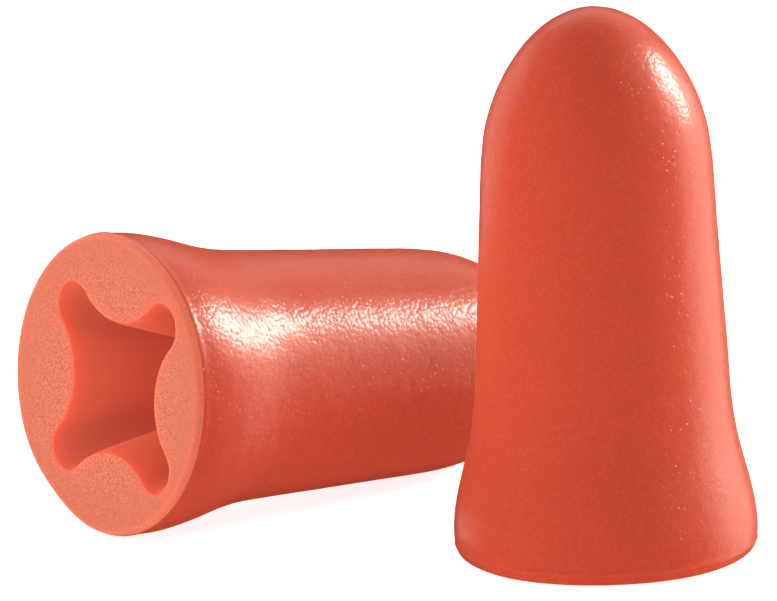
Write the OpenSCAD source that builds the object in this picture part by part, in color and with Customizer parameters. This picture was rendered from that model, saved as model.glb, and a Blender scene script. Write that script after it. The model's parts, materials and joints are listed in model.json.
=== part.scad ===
// A pair of moulded foam ear plugs: one stands on its base and the other lies beside it.
// Each plug is one piece of soft foam: a rounded nose, a tapering stem, a flared base,
// and an X-shaped hollow that opens in the base face and narrows as it goes in.
// Millimetres, +Z up. The origin is the centre of the standing plug's base, on the table top.
// The lying plug points along +X, and rests on its flare and its shoulder.

/* [Plug] */
// Length from the base face to the tip of the nose
plug_len = 25; // [23:0.5:28]
// Largest radius of the flared base
rim_r = 6.87; // [6.8:0.01:7.3]
// Height of the largest radius above the base face
rim_z = 1; // [0.8:0.1:1.4]
// How far the base edge rolls in from the largest radius to the base face
rim_roll = 0.27; // [0.2:0.01:0.4]
// Radius of the stem where the flare ends
stem_r = 5.79; // [5.6:0.01:6]
// Height at which the flare runs into the stem
stem_z = 7; // [6:0.5:8]
// Radius of the stem where the nose begins
shoulder_r = 5.2; // [5:0.01:5.4]
// Height at which the nose begins
shoulder_z = 18.3; // [17:0.1:19]
// Fullness of the nose along the axis: 1 is an ellipse, and more is slimmer
nose_power = 1.24; // [1:0.02:1.4]

/* [Hollow] */
// Depth of the hollow, from the base face to its closed end
hollow_depth = 9; // [7:0.5:10]
// Size of the hollow's section at its closed end, compared with its mouth
hollow_taper = 0.4; // [0.3:0.05:0.5]
// Radius of the rounded end of each of the four lobes, at the mouth
lobe_r = 1.1; // [0.9:0.05:1.2]
// Distance from the hollow's axis to the centre of a lobe's rounded end, at the mouth
lobe_d = 4.6; // [4.2:0.05:4.7]
// Distance from the hollow's axis to the crest of the wall between two lobes, at the mouth
crest_d = 3; // [2.8:0.05:3.2]
// How far the hollow sits off the plug's own axis
hollow_shift = 0.6; // [0:0.05:0.6]

/* [Layout] */
// Lying plug's base centre, measured along X from the standing plug's axis
lying_x = -14.1; // [-18:0.1:-12]
// Lying plug's axis, measured along Y from the standing plug's axis
lying_y = 18.5; // [17:0.1:24]

/* [Hidden] */
FOAM = [0.88, 0.34, 0.23];

ROUND_FN = 96;
ROLL_STEPS = 5;       // segments in the rolled base edge
FLARE_STEPS = 14;     // segments in the flare
NOSE_STEPS = 20;      // segments in the nose
ARC_STEPS = 9;        // segments in each arc of the hollow's outline
LOBES = 4;
HALF_LOBE = 180 / LOBES;
OVERLAP = 1;          // how far the hollow's cutter starts outside the base face

function lerp(a, b, t) = a + (b - a) * t;
function polar(r, a) = [r * cos(a), r * sin(a)];

// Profile of a plug as [radius, height] points, from the base face up to the nose.
roll_points = [for (i = [0:ROLL_STEPS]) let (a = 90 * i / ROLL_STEPS)
  [rim_r - rim_roll * (1 - sin(a)), rim_z * (1 - cos(a))]];

// The flare is a cubic that leaves the rim upright and joins the stem at the stem's slope.
stem_slope = (shoulder_r - stem_r) / (shoulder_z - stem_z);
flare_h = stem_z - rim_z;
function flare_r(t) = lerp(rim_r, stem_r, t * t * (3 - 2 * t))
  + stem_slope * flare_h * t * t * (t - 1);
flare_points = [for (i = [1:FLARE_STEPS]) let (t = i / FLARE_STEPS)
  [flare_r(t), rim_z + flare_h * t]];

// The nose is a superellipse that ends on the axis.
nose_h = plug_len - shoulder_z;
nose_points = [for (i = [0:NOSE_STEPS - 1]) let (a = 90 * i / NOSE_STEPS)
  [shoulder_r * cos(a), shoulder_z + nose_h * pow(sin(a), nose_power)]];

outer_points = concat(roll_points, flare_points, nose_points);
profile = concat([[0, 0]], outer_points, [[0, plug_len]]);

// A plug on its side tips nose down until one straight line touches its flare and its nose.
waist_points = concat(roll_points, flare_points);
lying_tilt = max([for (p = waist_points)
  min([for (q = nose_points) atan2(p[0] - q[0], q[1] - p[1])])]);
lying_h = max([for (p = outer_points) p[0] * cos(lying_tilt) + p[1] * sin(lying_tilt)]);

// Outline of the hollow: lobe arcs and wall arcs take turns, and each meets the next at a
// tangent. The wall arcs' radius follows from that.
lobe_xy = polar(lobe_d, HALF_LOBE);
crest_gap = crest_d - lobe_xy[0];
wall_r = (crest_gap * crest_gap + lobe_xy[1] * lobe_xy[1] - lobe_r * lobe_r)
  / (2 * (lobe_r - crest_gap));
wall_d = crest_d + wall_r;
join_a = atan2(lobe_xy[1], wall_d - lobe_xy[0]);
function lobe_arc(turn) = [for (i = [0:ARC_STEPS])
  let (a = lerp(-join_a, 2 * HALF_LOBE + join_a, i / ARC_STEPS))
  polar(lobe_d, turn + HALF_LOBE) + polar(lobe_r, turn + a)];
function wall_arc(turn) = [for (i = [1:ARC_STEPS - 1])
  let (a = lerp(180 + join_a, 180 - join_a, i / ARC_STEPS))
  polar(wall_d, turn) + polar(wall_r, turn + a)];
hollow_outline = [for (k = [0:LOBES - 1]) let (turn = 360 * k / LOBES)
  each concat(lobe_arc(turn), wall_arc(turn + 360 / LOBES))];

module hollow() {
  translate([-hollow_shift, 0, 0]) {
    linear_extrude(height = hollow_depth, scale = hollow_taper) polygon(hollow_outline);
    translate([0, 0, -OVERLAP]) linear_extrude(height = OVERLAP) polygon(hollow_outline);
  }
}

// One plug, upright on its base face.
module plug() {
  difference() {
    rotate_extrude($fn = ROUND_FN) polygon(profile);
    hollow();
  }
}

module standing_plug() {
  color(FOAM) plug();
}

module lying_plug() {
  color(FOAM)
    translate([lying_x, lying_y, lying_h])
      rotate([0, lying_tilt, 0])
        rotate([90, 0, 90])
          plug();
}

standing_plug();
lying_plug();
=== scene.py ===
"""A pair of coral foam ear plugs, one standing on its base and one lying beside it.

Each plug is one moulded piece of soft foam, so each is one mesh here: a pebbled skin from the nose
to the flare, a paler base face with a fine stipple, and an X-shaped hollow that narrows as it goes
in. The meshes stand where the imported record's mounts put the CAD plugs. All lengths are in metres.
"""

import json
import math

import bpy
import numpy as np
from mathutils import Matrix, Vector, noise


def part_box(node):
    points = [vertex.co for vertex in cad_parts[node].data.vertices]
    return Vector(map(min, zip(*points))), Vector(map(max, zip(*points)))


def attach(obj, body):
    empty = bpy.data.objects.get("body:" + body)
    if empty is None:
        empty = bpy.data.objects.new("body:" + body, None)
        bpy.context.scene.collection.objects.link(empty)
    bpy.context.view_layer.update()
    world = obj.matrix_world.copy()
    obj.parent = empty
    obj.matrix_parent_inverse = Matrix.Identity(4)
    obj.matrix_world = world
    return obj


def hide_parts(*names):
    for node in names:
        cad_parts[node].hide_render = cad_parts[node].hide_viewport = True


MM = 0.001
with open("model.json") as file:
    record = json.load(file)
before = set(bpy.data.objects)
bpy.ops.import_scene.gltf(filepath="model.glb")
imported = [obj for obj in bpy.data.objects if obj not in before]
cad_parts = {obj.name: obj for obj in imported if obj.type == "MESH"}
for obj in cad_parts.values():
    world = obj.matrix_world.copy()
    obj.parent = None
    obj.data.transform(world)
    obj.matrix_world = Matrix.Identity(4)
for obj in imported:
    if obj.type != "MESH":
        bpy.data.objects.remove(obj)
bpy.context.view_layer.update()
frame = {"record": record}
mounts = {m["name"]: m for m in frame["record"]["mounts"]}

# ---------------------------------------------------------------- shape of one plug
plug_low, plug_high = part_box("standing_plug")
PLUG_LEN = plug_high[2] - plug_low[2]
RIM_R = (plug_high[0] - plug_low[0]) / 2
RIM_Z = 0.5 * MM           # height of the rolled base edge
RIM_ROLL = 0.27 * MM       # how far the base edge rolls in
FLARE_Z = 1.0 * MM         # height at which the flare begins to narrow
STEM_R = 5.79 * MM         # stem radius where the flare ends
STEM_Z = 7.0 * MM
SHOULDER_R = 5.2 * MM      # stem radius where the nose begins
SHOULDER_Z = 18.3 * MM
NOSE_POWER = 1.24          # more than 1 makes the nose slimmer than an ellipse
SOFTEN = 0.9 * MM          # how softly the flare runs into the stem, and the stem into the nose

LOBES = 4
LOBE_R = 1.1 * MM          # radius of a lobe's rounded end at the mouth
LOBE_D = 4.6 * MM          # from the hollow's axis to the centre of that rounded end
CREST_D = 3.0 * MM         # from the hollow's axis to the crest between two lobes
HOLLOW_SHIFT = 0.6 * MM    # the hollow sits this far off the plug's axis
HOLLOW_DEPTH = 9.0 * MM
HOLLOW_END = 0.4           # section at the closed end, compared with the mouth
HOLLOW_DRAFT = 1.4         # more than 1 narrows the hollow sooner
END_DOME = 1.2 * MM        # length of the rounded closed end
LIP_R = 0.12 * MM          # rounding of the hollow's lip

# Where soft foam is out of round near the base: (direction round the plug's axis in degrees,
# width in degrees, how far the surface moves out, how far the change reaches up the plug)
PRESSED = {
    "standing": ((164, 26, -0.24 * MM, 0.7 * MM), (-62, 26, -0.24 * MM, 0.7 * MM)),
    "lying": ((-58, 20, -0.24 * MM, 3.0 * MM), (60, 45, 0.11 * MM, 3.0 * MM)),
}

# How far the paler surface of the base face reaches up the base edge; further on the lying plug, as
# painted light on its rolled edge
FACE_EDGE = {"standing": 0.12 * MM, "lying": 0.5 * MM}
PARTING = 0.035 * MM       # height of the fine parting line above the base edge
PARTING_W = 0.12 * MM
PRESS_FADE = 4             # the power at which a press fades from the outside towards the axis

# Unevenness of the skin: (size of a bump, its height)
UNEVEN = ((7.0 * MM, 0.040 * MM), (1.6 * MM, 0.010 * MM), (0.55 * MM, 0.007 * MM))
UNEVEN_START = (3.7, 1.3, 5.1)  # how far the pattern moves from one plug to the next
FACE_EVEN = 0.8            # how much of the unevenness the base face loses
MIDDLE_FADE = 2.4          # the stipple fades from 1 - 1 / MIDDLE_FADE of the radius to the rim

AROUND = 320               # points in each ring
RING_STEP = 0.125 * MM     # distance between the rings of the skin
FACE_RINGS = 9
LIP_RINGS = 4
WALL_RINGS = 34
DOME_RINGS = 6
ROLL_POINTS, FLARE_POINTS, NOSE_POINTS = 40, 200, 400  # points along the profile before it is spaced
ARC_POINTS = 200           # points on each arc of the hollow's outline before it is spaced

SKIN, FACE, HOLLOW = 0, 1, 2  # material slots of a plug, in the order of materials below


def lerp(a, b, t):
    return a + (b - a) * t


def from_axis(points):
    return np.hypot(points[:, 0], points[:, 1])


def skin_profile():
    """Radius and height of the skin's rings, from the base edge to just short of the nose's tip."""
    a = np.linspace(0, math.pi / 2, ROLL_POINTS)
    roll = np.stack([RIM_R - RIM_ROLL * (1 - np.sin(a)), RIM_Z * (1 - np.cos(a))], axis=1)
    t = np.linspace(0, 1, FLARE_POINTS)[1:]
    # the flare is a cubic that leaves the rim straight up and ends with the stem's own slope
    slope = (SHOULDER_R - STEM_R) / (SHOULDER_Z - STEM_Z)
    reach = STEM_Z - FLARE_Z
    flare_r = lerp(RIM_R, STEM_R, t * t * (3 - 2 * t)) + slope * reach * t * t * (t - 1)
    flare = np.stack([flare_r, FLARE_Z + reach * t], axis=1)
    a = np.linspace(0, math.pi / 2, NOSE_POINTS)
    nose_h = PLUG_LEN - SHOULDER_Z
    nose_z = SHOULDER_Z + nose_h * np.sin(a) ** NOSE_POWER
    nose = np.stack([SHOULDER_R * np.cos(a), nose_z], axis=1)
    line = np.concatenate([roll, flare, nose])
    run = np.concatenate([[0], np.cumsum(np.hypot(*np.diff(line, axis=0).T))])
    steps = np.linspace(0, run[-1], int(run[-1] / RING_STEP) + 1)[:-1]
    r, z = np.interp(steps, run, line[:, 0]), np.interp(steps, run, line[:, 1])
    # the softened radius is used only near the two joins, within a few times SOFTEN
    spread = int(3 * SOFTEN / RING_STEP)
    weights = np.exp(-0.5 * (np.arange(-spread, spread + 1) * RING_STEP / SOFTEN) ** 2)
    soft_r = np.convolve(np.pad(r, spread, mode="edge"), weights / weights.sum(), "valid")
    near = sum(np.exp(-((z - joint) / (2 * SOFTEN)) ** 2) for joint in (STEM_Z, SHOULDER_Z))
    parting = PARTING * np.exp(-((z - RIM_Z) / PARTING_W) ** 2)
    return np.stack([lerp(r, soft_r, near) + parting, z], axis=1)


def hollow_outline():
    """Points of the hollow's mouth, evenly spaced round it, and the outward normal at each."""
    # the walls between the lobes are arcs that meet the lobes' arcs without a corner
    lobe = np.array([math.cos(math.pi / LOBES), math.sin(math.pi / LOBES)]) * LOBE_D
    gap = CREST_D - lobe[0]
    wall_r = (gap ** 2 + lobe[1] ** 2 - LOBE_R ** 2) / (2 * (LOBE_R - gap))
    wall_d = CREST_D + wall_r
    join = math.atan2(lobe[1], wall_d - lobe[0])
    points, normals = [], []
    for k in range(LOBES):
        turn = 2 * math.pi * k / LOBES
        # half a wall arc, a lobe arc, and half the next wall arc
        for centre_r, centre_a, radius, start, end, out in (
            (wall_d, 0, wall_r, math.pi, math.pi - join, -1),
            (LOBE_D, math.pi / LOBES, LOBE_R, -join, 2 * math.pi / LOBES + join, 1),
            (wall_d, 2 * math.pi / LOBES, wall_r,
             2 * math.pi / LOBES + math.pi + join, 2 * math.pi / LOBES + math.pi, -1),
        ):
            a = turn + np.linspace(start, end, ARC_POINTS)
            c = np.array([math.cos(turn + centre_a), math.sin(turn + centre_a)]) * centre_r
            ray = np.stack([np.cos(a), np.sin(a)], axis=1)
            points.append(c + ray * radius)
            normals.append(ray * out)
    points, normals = np.concatenate(points), np.concatenate(normals)
    run = np.concatenate([[0], np.cumsum(np.hypot(*np.diff(points, axis=0).T))])
    at = np.linspace(0, run[-1], AROUND, endpoint=False)
    points = np.stack([np.interp(at, run, points[:, 0]), np.interp(at, run, points[:, 1])], axis=1)
    normals = np.stack([np.interp(at, run, normals[:, 0]), np.interp(at, run, normals[:, 1])], axis=1)
    return points, normals / np.linalg.norm(normals, axis=1, keepdims=True)


def plug_rings():
    """The rings of one plug, and how much each belongs to the base face and to the hollow.

    The plug stands in its own frame, its base at z = 0 and its nose up. The rings run from the
    nose's tip down the skin, across the base face and up the hollow to its closed end.
    """
    angles = np.linspace(0, 2 * math.pi, AROUND, endpoint=False)
    circle = np.stack([np.cos(angles), np.sin(angles)], axis=1)
    rings, on_face, in_hollow = [], [], []

    def add(xy, z, face, hollow):
        rings.append(np.column_stack([xy, np.full(AROUND, z)]))
        on_face.append(face)
        in_hollow.append(hollow)

    profile = skin_profile()
    for r, z in profile[::-1]:
        add(circle * r, z, max(0.0, 1 - z / RIM_Z), 0.0)
    mouth, outward = hollow_outline()
    centre = np.array([-HOLLOW_SHIFT, 0.0])
    edge = circle * profile[0][0]
    lip = centre + mouth + outward * LIP_R
    for i in range(1, FACE_RINGS + 1):
        add(lerp(edge, lip, i / FACE_RINGS), 0.0, 1.0, 0.0)
    for i in range(1, LIP_RINGS + 1):
        a = math.pi / 2 * i / LIP_RINGS
        xy = centre + mouth + outward * LIP_R * (1 - math.sin(a))
        add(xy, LIP_R * (1 - math.cos(a)), 1 - i / LIP_RINGS, i / LIP_RINGS)
    for i in range(1, WALL_RINGS + 1):
        z = lerp(LIP_R, HOLLOW_DEPTH - END_DOME, i / WALL_RINGS)
        narrow = lerp(1, HOLLOW_END, 1 - (1 - z / HOLLOW_DEPTH) ** HOLLOW_DRAFT)
        add(centre + mouth * narrow, z, 0.0, 1.0)
    for i in range(1, DOME_RINGS + 1):
        a = math.pi / 2 * i / (DOME_RINGS + 1)
        z = HOLLOW_DEPTH - END_DOME * (1 - math.sin(a))
        add(centre + mouth * narrow * math.cos(a), z, 0.0, 1.0)
    return np.array(rings), np.array(on_face), np.array(in_hollow)


def uneven(points, seed):
    """Height of the soft unevenness at each point."""
    offset = seed * Vector(UNEVEN_START)
    heights = np.zeros(len(points))
    for size, height in UNEVEN:
        heights += [height * noise.noise(Vector(p) / size + offset) for p in points]
    return heights


def pressed(points, places):
    """How far each point moves away from the plug's axis where the foam is out of round."""
    around = np.degrees(np.arctan2(points[:, 1], points[:, 0]))
    outer = (from_axis(points) / RIM_R) ** PRESS_FADE
    move = np.zeros(len(points))
    for direction, width, distance, reach in places:
        turn = (around - direction + 180) % 360 - 180
        move += distance * outer * np.exp(-(turn / width) ** 2 - (points[:, 2] / reach) ** 2)
    return move


def build_plug(name, seed, places, face_edge, base, axis, side):
    """One plug's mesh, with its base centre at base, its nose along axis, and side as its own X.

    places says where it is out of round, and face_edge how far its paler face reaches up the edge.
    """
    rings, on_face, in_hollow = plug_rings()
    tip = np.array([[0, 0, PLUG_LEN]])
    end = np.array([[-HOLLOW_SHIFT, 0, HOLLOW_DEPTH]])
    points = np.concatenate([tip, rings.reshape(-1, 3), end])
    face_mask = np.concatenate([[0], np.repeat(on_face, AROUND), [0]])
    hollow_mask = np.concatenate([[0], np.repeat(in_hollow, AROUND), [1]])

    def corner(ring, i):
        return 1 + ring * AROUND + i % AROUND

    last = len(rings) - 1
    faces = []
    for i in range(AROUND):
        faces.append((0, corner(0, i), corner(0, i + 1)))
        faces.append((corner(last, i + 1), corner(last, i), len(points) - 1))
    for k in range(last):
        for i in range(AROUND):
            faces.append((corner(k, i), corner(k + 1, i), corner(k + 1, i + 1), corner(k, i + 1)))

    mesh = bpy.data.meshes.new(name)
    mesh.from_pydata(points.tolist(), [], faces)
    mesh.update()
    normals = np.zeros(len(points) * 3)
    mesh.vertex_normals.foreach_get("vector", normals)
    normals = normals.reshape(-1, 3)
    up_edge = np.where(hollow_mask == 0, points[:, 2], 0)  # height above the base, outside the hollow
    lift = uneven(points, seed) * (1 - hollow_mask) * (1 - FACE_EVEN * face_mask)
    points = points + normals * lift[:, None]
    away = points * (1, 1, 0) / np.maximum(from_axis(points), MM)[:, None]
    points = points + away * pressed(points, places)[:, None]

    middle = np.clip(MIDDLE_FADE - MIDDLE_FADE * from_axis(points) / RIM_R, 0, 1)

    axis, side = Vector(axis).normalized(), Vector(side).normalized()
    turn = np.array([side, axis.cross(side), axis])
    points = points @ turn + np.array(base)
    points[:, 2] = np.maximum(points[:, 2], 0.0)
    mesh.vertices.foreach_set("co", points.ravel())
    surface = np.where(hollow_mask > 0, HOLLOW, np.where(face_mask > 0, FACE, SKIN))
    surface[up_edge > face_edge] = SKIN
    slots = [int(min(surface[v] for v in f)) for f in faces]
    mesh.polygons.foreach_set("material_index", slots)
    # the base face's material reads these two
    for attribute, values in (("near_middle", middle), ("rolled_edge", up_edge > 0)):
        mesh.attributes.new(attribute, "FLOAT", "POINT").data.foreach_set("value", values)
    mesh.polygons.foreach_set("use_smooth", [True] * len(mesh.polygons))
    mesh.update()
    piece = bpy.data.objects.new(name, mesh)
    bpy.context.collection.objects.link(piece)
    return piece


# ---------------------------------------------------------------- foam materials
SKIN_COLOR = (0.43, 0.057, 0.028, 1)
# the base face is paler and less red than the skin: partly its own tone, partly a painted sheen
FACE_COLOR_WITH_SHEEN = (0.49, 0.135, 0.082, 1)
# the hollow's colour is paler than the skin's: painted light in the shaded hollow
HOLLOW_COLOR = (0.43, 0.086, 0.048, 1)
HOLLOW_PAINTED_GLOW = (0.22, 0.034, 0.019, 1)  # painted light: a glow on the hollow's walls that stands in for light coming through the foam
GLOSS_TINT = (1.0, 0.82, 0.62, 1)
SPREAD = (1.0, 0.38, 0.24)  # how far red, green and blue light spread in the foam, in proportion
SPREAD_REACH = 1.0 * MM    # how far it spreads
HOLLOW_REACH = 3.0 * MM    # how far it spreads at the hollow's walls
FOAM_IOR = 1.38
SKIN_ROUGHNESS = 0.5
MATT_ROUGHNESS = 0.6       # of the base face and the hollow's walls
COAT = 0.55                # strength of the skin's gloss
COAT_ROUGHNESS = 0.22
NOISE_DETAIL = 2.0

PEBBLE = 0.21 * MM         # distance between the pebbles of the skin
PEBBLE_HEIGHT = 0.5        # compared with a pore's depth
PEBBLE_PAINTED_GLINT = 0.10      # painted glint: how much lighter the foam is painted at the middle of a pebble
PEBBLE_PAINTED_SHADE = 0.03       # painted shade: how much darker it is painted between the pebbles
PEBBLE_FADE = (0.2, 0.55)  # where it goes from painted glint to painted shade, in spacings
PORE_SPACING = 0.32 * MM
PORE_REACH = 0.24          # radius of a pore, in spacings
PORE_FLAT = 0.1            # radius of its flat bottom, compared with PORE_REACH
PORE_DEPTH = 0.030 * MM
RIPPLE = 0.30 * MM         # size of the fine ripple under the pebbles
RIPPLE_HEIGHT = 0.15       # compared with a pore's depth
UNDER_COAT = 0.1           # how much of the skin's relief shows under its gloss

GRAIN = 0.085 * MM         # size of a grain of the base face's stipple
GRAIN_DEPTH = 0.030 * MM
GRAIN_NOISE = (0.35, 0.65)   # values of the noise at the darkest and the lightest speck
GRAIN_SHADES = (0.66, 1.34)  # shades of those specks, compared with the face's colour
RIM_STIPPLE = 0.25         # strength of the stipple at the rim, compared with the middle
RIM_PAINTED_SHADE = 0.92           # painted shade: the face's shade at the rim, compared with the middle
EDGE_PAINTED_LIGHT = 0.14        # painted light: how much lighter the face's rolled edge is painted


class Shader:
    """A material whose nodes are made and joined one after another."""

    def __init__(self, name):
        self.material = bpy.data.materials.new(name)
        self.material.use_nodes = True
        self.nodes = self.material.node_tree.nodes
        self.links = self.material.node_tree.links
        self.nodes.clear()

    def add(self, kind, inputs=None, **settings):
        """Makes a node. An input is set to a value, or joined to another node's output socket."""
        node = self.nodes.new(kind)
        for key, value in settings.items():
            setattr(node, key, value)
        for key, value in (inputs or {}).items():
            if isinstance(value, bpy.types.NodeSocket):
                self.links.new(value, node.inputs[key])
            else:
                node.inputs[key].default_value = value
        return node

    def math(self, operation, *values):
        return self.add("ShaderNodeMath", dict(enumerate(values)), operation=operation).outputs[0]

    def noise(self, size):
        where = self.add("ShaderNodeTexCoord").outputs["Object"]
        inputs = {"Vector": where, "Scale": 1 / size, "Detail": NOISE_DETAIL}
        return self.add("ShaderNodeTexNoise", inputs).outputs["Fac"]

    def shaded(self, color, shade):
        """A colour multiplied by a shade that varies over the surface."""
        scale = self.add("ShaderNodeVectorMath", {0: color[:3], "Scale": shade}, operation="SCALE")
        return scale.outputs["Vector"]

    def foam(self, height, depth, color, roughness, reach=SPREAD_REACH, **more):
        """Ends the material in a foam surface. Light spreads for about reach inside the foam."""
        bump = self.add("ShaderNodeBump", {"Height": height, "Distance": depth})
        surface = self.add("ShaderNodeBsdfPrincipled", {
            "Base Color": color, "Roughness": roughness, "IOR": FOAM_IOR,
            "Specular Tint": GLOSS_TINT, "Subsurface Weight": 1.0, "Subsurface Radius": SPREAD,
            "Subsurface Scale": reach, "Normal": bump.outputs["Normal"], **more})
        output = self.add("ShaderNodeOutputMaterial")
        self.links.new(surface.outputs["BSDF"], output.inputs["Surface"])
        return self.material


def skin_material():
    """The moulded skin: fine round pebbles that catch the light, partly through a painted glint, with
    small pores among them.
    """
    sh = Shader("foam_skin")
    where = sh.add("ShaderNodeTexCoord").outputs["Object"]
    pebbles = sh.add("ShaderNodeTexVoronoi", {"Vector": where, "Scale": 1 / PEBBLE})
    drop = sh.math("POWER", pebbles.outputs["Distance"], 2.0)
    pores = sh.add("ShaderNodeTexVoronoi", {"Vector": where, "Scale": 1 / PORE_SPACING})
    pore = sh.add("ShaderNodeMapRange", {
        "Value": pores.outputs["Distance"], "From Min": PORE_FLAT * PORE_REACH,
        "From Max": PORE_REACH, "To Min": 1.0, "To Max": 0.0},
        interpolation_type="SMOOTHSTEP").outputs["Result"]
    ripple = sh.math("MULTIPLY", sh.noise(RIPPLE), RIPPLE_HEIGHT)
    height = sh.math("SUBTRACT", sh.math("MULTIPLY_ADD", drop, -PEBBLE_HEIGHT, ripple), pore)
    gloss = sh.add("ShaderNodeBump", {"Height": height, "Distance": PORE_DEPTH})
    # painted glint at each pebble's middle and painted shade between the pebbles
    shade = sh.add("ShaderNodeMapRange", {
        "Value": pebbles.outputs["Distance"], "From Min": PEBBLE_FADE[0],
        "From Max": PEBBLE_FADE[1], "To Min": 1.0 + PEBBLE_PAINTED_GLINT, "To Max": 1.0 - PEBBLE_PAINTED_SHADE},
        interpolation_type="SMOOTHSTEP").outputs["Result"]
    color = sh.shaded(SKIN_COLOR, shade)
    return sh.foam(height, UNDER_COAT * PORE_DEPTH, color, SKIN_ROUGHNESS, **{
        "Coat Weight": COAT, "Coat Roughness": COAT_ROUGHNESS,
        "Coat Normal": gloss.outputs["Normal"]})


def face_material():
    """The base face: matt and lighter, partly through a painted sheen, with a fine stipple that fades
    towards the rim, painted shade at the rim and painted light on its rolled edge.
    """
    sh = Shader("foam_face")
    grain = sh.noise(GRAIN)
    middle = sh.add("ShaderNodeAttribute", attribute_name="near_middle").outputs["Fac"]
    amount = sh.math("MULTIPLY_ADD", middle, 1 - RIM_STIPPLE, RIM_STIPPLE)
    specks = sh.add("ShaderNodeMapRange", {
        "Value": grain, "From Min": GRAIN_NOISE[0], "From Max": GRAIN_NOISE[1],
        "To Min": GRAIN_SHADES[0], "To Max": GRAIN_SHADES[1]}).outputs["Result"]
    edge = sh.add("ShaderNodeAttribute", attribute_name="rolled_edge").outputs["Fac"]
    # painted shade towards the rim, and painted light on the rolled edge
    painted_rim_shade_and_edge_light = sh.math("MULTIPLY_ADD", middle, 1 - RIM_PAINTED_SHADE, RIM_PAINTED_SHADE)
    painted_rim_shade_and_edge_light = sh.math("MULTIPLY_ADD", edge, EDGE_PAINTED_LIGHT, painted_rim_shade_and_edge_light)
    shade = sh.math("MULTIPLY_ADD", sh.math("SUBTRACT", specks, 1.0), amount, painted_rim_shade_and_edge_light)
    color = sh.shaded(FACE_COLOR_WITH_SHEEN, shade)
    return sh.foam(sh.math("MULTIPLY", grain, amount), GRAIN_DEPTH, color, MATT_ROUGHNESS)


def hollow_material():
    """The hollow's smooth walls, where light spreads far in the foam; their paler colour and glow are
    painted light.
    """
    sh = Shader("foam_hollow")
    ripple = sh.noise(RIPPLE)
    return sh.foam(ripple, GRAIN_DEPTH, HOLLOW_COLOR, MATT_ROUGHNESS, reach=HOLLOW_REACH, **{
        "Emission Color": HOLLOW_PAINTED_GLOW, "Emission Strength": 1.0})


# ---------------------------------------------------------------- the two plugs
SIDE_OF = {"standing": (1, 0, 0), "lying": (0, 1, 0)}
materials = (skin_material(), face_material(), hollow_material())
for seed, (body, side) in enumerate(SIDE_OF.items()):
    base = mounts[body + "_base"]
    nose_ward = -Vector(base["axis"])
    plug = build_plug(body + "_foam_plug", seed, PRESSED[body], FACE_EDGE[body], base["pos_m"],
                      nose_ward, side)
    for material in materials:
        plug.data.materials.append(material)
    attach(plug, body)
    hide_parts(body + "_plug")

# ---------------------------------------------------------------- camera
AZIMUTH = math.radians(-38.03)
ELEVATION = math.radians(12.53)
ROLL = math.radians(-1.70)
DISTANCE = 0.5821
LENS = 591.3               # millimetres, as SENSOR is
SENSOR = 36
CLIP = (0.01, 10)          # nearest and furthest distance in view
LOOK_AT = Vector((-0.00234, 0.01245, 0.010))

back = Vector((math.sin(AZIMUTH) * math.cos(ELEVATION),
               -math.cos(AZIMUTH) * math.cos(ELEVATION), math.sin(ELEVATION)))
right = Vector((math.cos(AZIMUTH), math.sin(AZIMUTH), 0))
up = back.cross(right)
camera = bpy.data.objects.new("camera", bpy.data.cameras.new("camera"))
bpy.context.collection.objects.link(camera)
camera.data.lens = LENS
camera.data.sensor_width = SENSOR
camera.data.clip_start, camera.data.clip_end = CLIP
camera.location = LOOK_AT + back * DISTANCE
camera.rotation_mode = "QUATERNION"
rolled_right = right * math.cos(ROLL) + up * math.sin(ROLL)
rolled_up = up * math.cos(ROLL) - right * math.sin(ROLL)
turned = Matrix((rolled_right, rolled_up, back)).transposed()
camera.rotation_quaternion = turned.to_quaternion()
bpy.context.scene.camera = camera

# ---------------------------------------------------------------- floor and light
FLOOR_HALF = 1.5           # half the floor's width
FLOOR_DROP = 0.02 * MM     # a hair below the plugs, so that the surfaces don't flicker
FLOOR_GREY = 0.6
FLOOR_ROUGHNESS = 0.9
FLOOR_GLOW = 0.8           # keeps the floor as pale as the photograph's white background
WORLD_LIGHT = 0.72
WHITE = (1, 1, 1)
LAMP_COLOR = (1.0, 0.95, 0.86)


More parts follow.
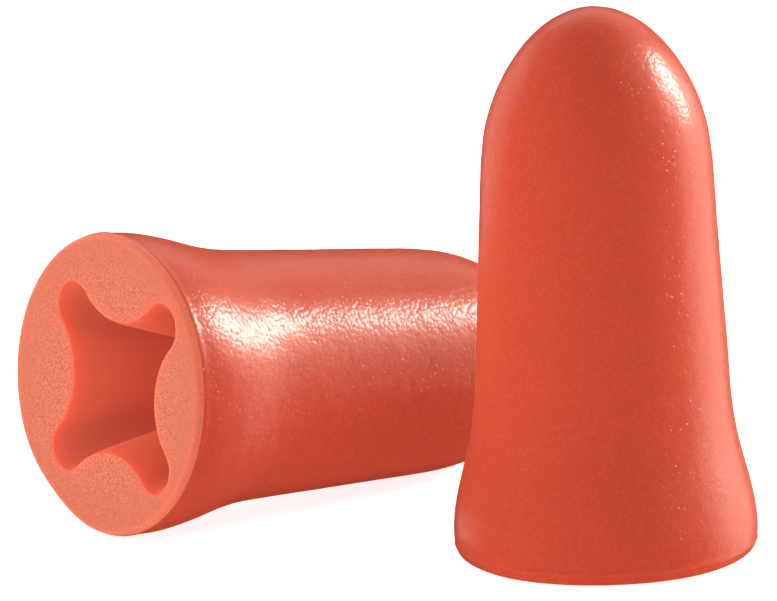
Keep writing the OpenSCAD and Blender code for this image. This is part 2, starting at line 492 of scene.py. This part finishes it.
def make_floor():
    mesh = bpy.data.meshes.new("floor")
    corners = [(x * FLOOR_HALF, y * FLOOR_HALF, 0) for x, y in ((-1, -1), (1, -1), (1, 1), (-1, 1))]
    mesh.from_pydata(corners, [], [(0, 1, 2, 3)])
    floor = bpy.data.objects.new("floor", mesh)
    floor.location.z = -FLOOR_DROP
    floor.visible_glossy = False
    bpy.context.collection.objects.link(floor)
    mat = bpy.data.materials.new("floor")
    mat.use_nodes = True
    shader = mat.node_tree.nodes["Principled BSDF"]
    shader.inputs["Base Color"].default_value = (FLOOR_GREY, FLOOR_GREY, FLOOR_GREY, 1)
    shader.inputs["Emission Color"].default_value = (*WHITE, 1)
    shader.inputs["Emission Strength"].default_value = FLOOR_GLOW
    shader.inputs["Roughness"].default_value = FLOOR_ROUGHNESS
    mesh.materials.append(mat)


def softbox(name, toward, distance, size, power, reflected=True):
    """A soft area light. toward is its direction from LOOK_AT, as the camera's (right, up, back).

    A light that isn't reflected brightens the foam without a highlight.
    """
    direction = (right * toward[0] + up * toward[1] + back * toward[2]).normalized()
    data = bpy.data.lights.new(name, "AREA")
    data.shape = "RECTANGLE"
    data.size, data.size_y = size
    data.energy = power
    lamp = bpy.data.objects.new(name, data)
    lamp.location = LOOK_AT + direction * distance
    lamp.rotation_euler = direction.to_track_quat("Z", "Y").to_euler()
    lamp.visible_camera = False
    lamp.visible_glossy = reflected
    data.color = LAMP_COLOR if reflected else WHITE
    bpy.context.collection.objects.link(lamp)


make_floor()
softbox("key_strip", toward=(0.855, 0.43, -0.30), distance=0.5, size=(0.08, 0.20), power=1.8)
softbox("key_high", toward=(0.835, 0.534, -0.13), distance=0.5, size=(0.10, 0.10), power=0.95)
softbox("right_back", toward=(0.80, 0.0, -0.60), distance=0.6, size=(0.35, 0.5), power=0.8)
softbox("right_side", toward=(0.97, 0.15, -0.15), distance=0.6, size=(0.3, 0.5), power=0.85)
softbox("back_top", toward=(0.05, 0.80, -0.60), distance=0.6, size=(0.6, 0.4), power=0.7)
softbox("back_left", toward=(-0.75, 0.25, -0.60), distance=0.6, size=(0.5, 0.5), power=0.6)
softbox("left_side", toward=(-0.97, 0.10, -0.20), distance=0.6, size=(0.4, 0.5), power=2.9,
        reflected=False)
softbox("left_front", toward=(-0.85, 0.15, 0.50), distance=0.6, size=(0.4, 0.5), power=2.1,
        reflected=False)
softbox("front", toward=(0.35, -0.05, 0.93), distance=0.6, size=(0.3, 0.3), power=0.9,
        reflected=False)

world = bpy.data.worlds.new("world")
world.use_nodes = True
sky = world.node_tree.nodes["Background"]
sky.inputs["Color"].default_value = (*WHITE, 1)
sky.inputs["Strength"].default_value = WORLD_LIGHT
bpy.context.scene.world = world
world.cycles_visibility.glossy = False
bpy.context.scene.view_settings.view_transform = "Standard"
